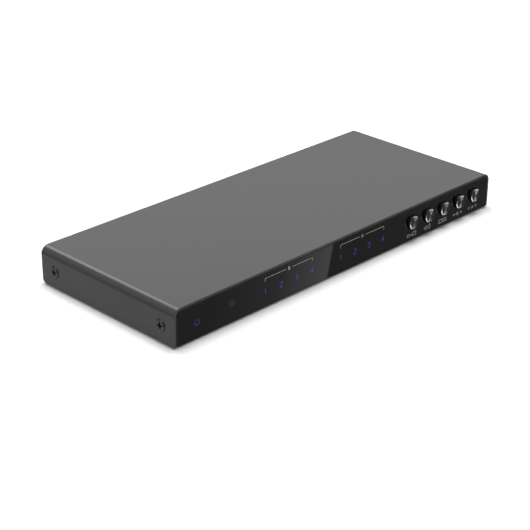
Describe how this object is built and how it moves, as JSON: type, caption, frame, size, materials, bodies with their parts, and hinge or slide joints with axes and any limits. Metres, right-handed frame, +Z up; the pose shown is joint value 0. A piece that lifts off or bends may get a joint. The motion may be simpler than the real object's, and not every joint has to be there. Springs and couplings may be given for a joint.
{
  "type": "video switch box",
  "caption": "Flat desktop video switch with a dark sheet-metal cover, gloss black front, lit digits, round metal push buttons and rear plug sockets.",
  "frame": {"origin": "under the middle of the whole box, on the surface that the feet stand on", "axes": "+X to the right of someone facing the buttons, +Y to the sockets at the rear, +Z up"},
  "size_m": [0.216, 0.0922, 0.0186],
  "materials": {
    "cover_paint": "satin dark grey",
    "tray_paint": "fine-textured black",
    "foot_rubber": "matte black",
    "screw_dark": "dark grey plated",
    "screw_black": "black plated",
    "fascia_gloss": "high gloss black",
    "tape_foam": "matte black adhesive foam",
    "ir_plastic": "dark, passes infrared",
    "board_green": "green solder mask",
    "bright_steel": "zinc plated",
    "black_plastic": "moulded black",
    "clear_plastic": "polished clear",
    "led_resin": "milky resin",
    "ivory_plastic": "moulded ivory",
    "ribbon_film": "white film",
    "shell_nickel": "satin nickel plated",
    "pin_nickel": "nickel plated brass",
    "shutter_plastic": "moulded dark grey",
    "chip_resin": "moulded resin",
    "thermal_rubber": "soft grey pad",
    "sink_aluminium": "black anodised",
    "capacitor_can": "bare can",
    "button_aluminium": "spun, bright chamfered rim",
    "plunger_plastic": "moulded brown"
  },
  "bodies": {
    "housing": {"top_cover": "cover_paint", "bottom_tray": "tray_paint", "rubber_feet": "foot_rubber", "cover_screws": "screw_dark", "rear_panel": "tray_paint", "rear_panel_screws": "screw_black", "front_fascia": "fascia_gloss", "fascia_tape": "tape_foam", "ir_window": "ir_plastic", "front_board": "board_green", "front_board_spacers": "bright_steel", "front_board_screws": "bright_steel", "left_light_shroud": "black_plastic", "right_light_shroud": "black_plastic", "digit_light_guides": "clear_plastic", "power_light_guide": "clear_plastic", "indicator_leds": "led_resin", "ir_receiver": "ir_plastic", "front_ribbon_socket": "ivory_plastic", "ribbon_cable": "ribbon_film", "main_ribbon_socket": "ivory_plastic", "main_board": "board_green", "board_standoffs": "bright_steel", "board_screws": "bright_steel", "input_shells": "shell_nickel", "input_cores": "black_plastic", "output_shells": "shell_nickel", "output_cores": "black_plastic", "dc_jack_body": "black_plastic", "dc_jack_pin": "pin_nickel", "audio_jack_body": "black_plastic", "audio_jack_bush": "pin_nickel", "optical_jack_body": "black_plastic", "video_processor": "chip_resin", "thermal_pad": "thermal_rubber", "heat_sink": "sink_aluminium", "interface_chips": "chip_resin", "filter_capacitors": "capacitor_can", "scaler_switch_case": "black_plastic", "audio_switch_case": "black_plastic", "mode_switch_case": "black_plastic", "select_b_switch_case": "black_plastic", "select_a_switch_case": "black_plastic"},
    "scaler_button": {"scaler_button_body": "black_plastic", "scaler_button_face": "button_aluminium", "scaler_switch_plunger": "plunger_plastic"},
    "audio_button": {"audio_button_body": "black_plastic", "audio_button_face": "button_aluminium", "audio_switch_plunger": "plunger_plastic"},
    "mode_button": {"mode_button_body": "black_plastic", "mode_button_face": "button_aluminium", "mode_switch_plunger": "plunger_plastic"},
    "select_b_button": {"select_b_button_body": "black_plastic", "select_b_button_face": "button_aluminium", "select_b_switch_plunger": "plunger_plastic"},
    "select_a_button": {"select_a_button_body": "black_plastic", "select_a_button_face": "button_aluminium", "select_a_switch_plunger": "plunger_plastic"},
    "shutter": {"optical_shutter": "shutter_plastic"}
  },
  "joints": [
    {"name": "scaler_press", "type": "slide", "parent": "housing", "child": "scaler_button", "axis": [0, 1, 0], "range_m": [0, 0.0005], "stiffness_N_per_m": 800, "springref_m": -0.001},
    {"name": "audio_press", "type": "slide", "parent": "housing", "child": "audio_button", "axis": [0, 1, 0], "range_m": [0, 0.0005], "stiffness_N_per_m": 800, "springref_m": -0.001},
    {"name": "mode_press", "type": "slide", "parent": "housing", "child": "mode_button", "axis": [0, 1, 0], "range_m": [0, 0.0005], "stiffness_N_per_m": 800, "springref_m": -0.001},
    {"name": "select_b_press", "type": "slide", "parent": "housing", "child": "select_b_button", "axis": [0, 1, 0], "range_m": [0, 0.0005], "stiffness_N_per_m": 800, "springref_m": -0.001},
    {"name": "select_a_press", "type": "slide", "parent": "housing", "child": "select_a_button", "axis": [0, 1, 0], "range_m": [0, 0.0005], "stiffness_N_per_m": 800, "springref_m": -0.001},
    {"name": "shutter_swing", "type": "hinge", "parent": "housing", "child": "shutter", "pos_m": [-0.06797, 0.0441, 0.01425], "axis": [-1, 0, 0], "range_deg": [0, 80], "stiffness_Nm_per_rad": 0.0001, "springref_deg": -17.19}
  ]
}
